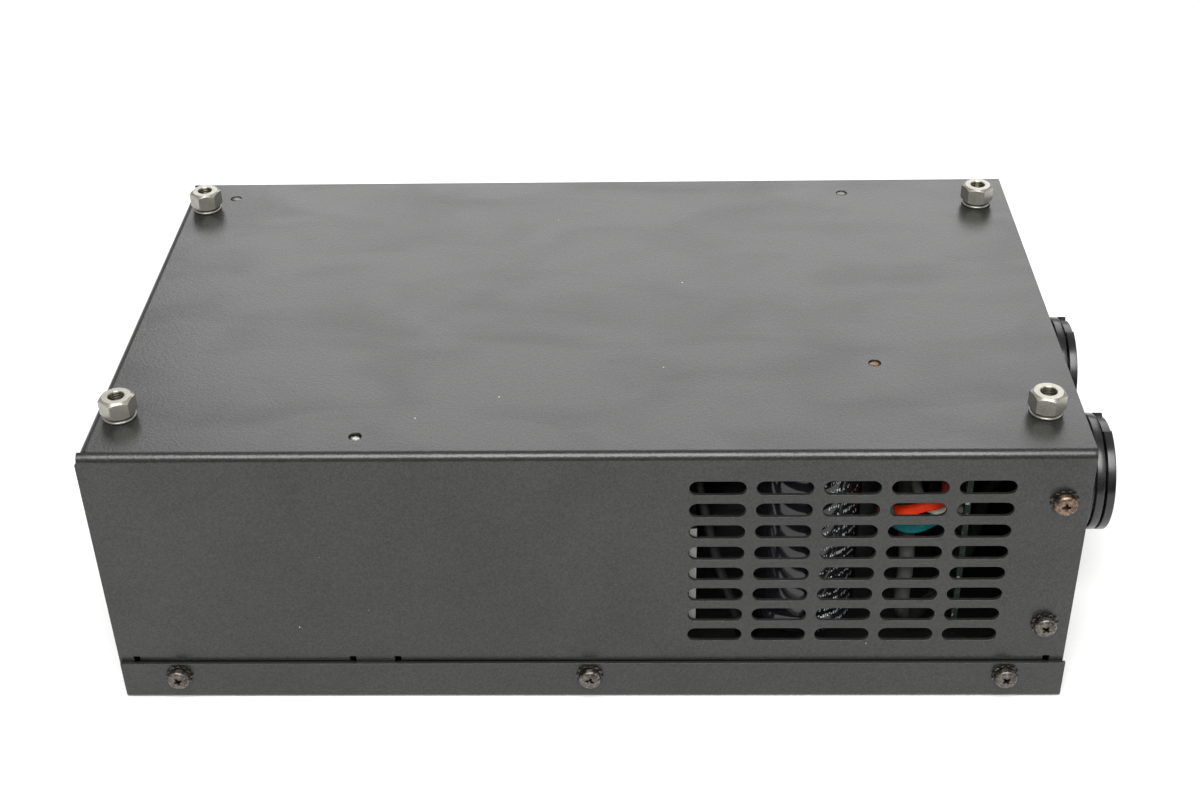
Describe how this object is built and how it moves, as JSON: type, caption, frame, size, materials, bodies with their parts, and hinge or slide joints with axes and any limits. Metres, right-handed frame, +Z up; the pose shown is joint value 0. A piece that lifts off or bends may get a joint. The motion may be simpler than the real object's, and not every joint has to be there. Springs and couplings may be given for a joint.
{
  "type": "cooled astronomy camera power and cooling unit",
  "caption": "Vented sheet-metal electronics box for a cooled astronomy camera, with round bulkhead ports, hex standoffs and an exhaust fan.",
  "frame": {"origin": "centre of the flat underside of the tray cover", "axes": "+X along the box towards the end panel with the round ports, -Y out of the slotted vent wall, +Z up through the panel that carries the hex standoffs"},
  "size_m": [0.3112, 0.1786, 0.1003],
  "materials": {
    "powder_coat": "black powder coat, satin, fine texture",
    "screw_steel": "worn dark zinc",
    "nickel": "nickel plated",
    "port_plastic": "semi-gloss black",
    "insert_plastic": "matt dark grey",
    "board_laminate": "green solder mask",
    "nylon": "natural nylon",
    "capacitor_sleeve": "glossy black sleeve",
    "core_steel": "varnished laminations",
    "winding_tape": "amber tape",
    "aluminium": "extruded",
    "choke_winding": "enamelled copper wire",
    "fan_plastic": "black moulding",
    "plated_sheet": "zinc plated",
    "red_insulation": "soft insulation",
    "teal_insulation": "soft insulation",
    "white_insulation": "soft insulation",
    "cable_sheath": "grey sheath"
  },
  "bodies": {
    "unit": {"chassis": "powder_coat", "end_panel": "powder_coat", "bottom_cover": "powder_coat", "cover_screw_1": "screw_steel", "cover_screw_2": "screw_steel", "cover_screw_3": "screw_steel", "cover_screw_4": "screw_steel", "cover_screw_5": "screw_steel", "cover_screw_6": "screw_steel", "end_screw_1": "screw_steel", "end_screw_2": "screw_steel", "end_screw_3": "screw_steel", "end_screw_4": "screw_steel", "fan_screw_1": "screw_steel", "fan_screw_2": "screw_steel", "fan_screw_3": "screw_steel", "fan_screw_4": "screw_steel", "standoff_1": "nickel", "standoff_2": "nickel", "standoff_3": "nickel", "standoff_4": "nickel", "standoff_washer_1": "nickel", "standoff_washer_2": "nickel", "standoff_washer_3": "nickel", "standoff_washer_4": "nickel", "panel_stud_1": "nickel", "panel_stud_2": "nickel", "panel_stud_3": "nickel", "panel_stud_4": "nickel", "port_1_body": "port_plastic", "port_1_nut": "port_plastic", "port_1_insert": "insert_plastic", "port_2_body": "port_plastic", "port_2_nut": "port_plastic", "port_2_insert": "insert_plastic", "main_board": "board_laminate", "side_board": "board_laminate", "board_spacer_1": "nylon", "board_spacer_2": "nylon", "board_spacer_3": "nylon", "board_spacer_4": "nylon", "filter_capacitor": "capacitor_sleeve", "heat_sink": "aluminium", "filter_choke": "choke_winding", "terminal_block": "insert_plastic", "transformer_core": "core_steel", "transformer_winding": "winding_tape", "transformer_plate": "plated_sheet", "fan_frame": "fan_plastic", "lead_red": "red_insulation", "lead_teal": "teal_insulation", "lead_white": "white_insulation", "fan_lead": "fan_plastic", "port_1_cable": "cable_sheath"},
    "lock_ring_1": {"port_1_lock_ring": "port_plastic"},
    "lock_ring_2": {"port_2_lock_ring": "port_plastic"},
    "cap_1": {"port_1_cap": "port_plastic"},
    "cap_2": {"port_2_cap": "port_plastic"},
    "rotor": {"fan_rotor": "fan_plastic"}
  },
  "joints": [
    {"name": "lock_ring_1_turn", "type": "hinge", "parent": "unit", "child": "lock_ring_1", "pos_m": [0.146, -0.0293, 0.0453], "axis": [1, 0, 0], "range_deg": [0, 60]},
    {"name": "lock_ring_2_turn", "type": "hinge", "parent": "unit", "child": "lock_ring_2", "pos_m": [0.146, 0.0293, 0.0453], "axis": [1, 0, 0], "range_deg": [0, 60]},
    {"name": "cap_1_pull", "type": "slide", "parent": "unit", "child": "cap_1", "axis": [1, 0, 0], "range_m": [0, 0.018]},
    {"name": "cap_2_pull", "type": "slide", "parent": "unit", "child": "cap_2", "axis": [1, 0, 0], "range_m": [0, 0.018]},
    {"name": "fan_spin", "type": "hinge", "parent": "unit", "child": "rotor", "pos_m": [0.0775, 0.063, 0.0535], "axis": [0, 1, 0], "continuous": true}
  ]
}
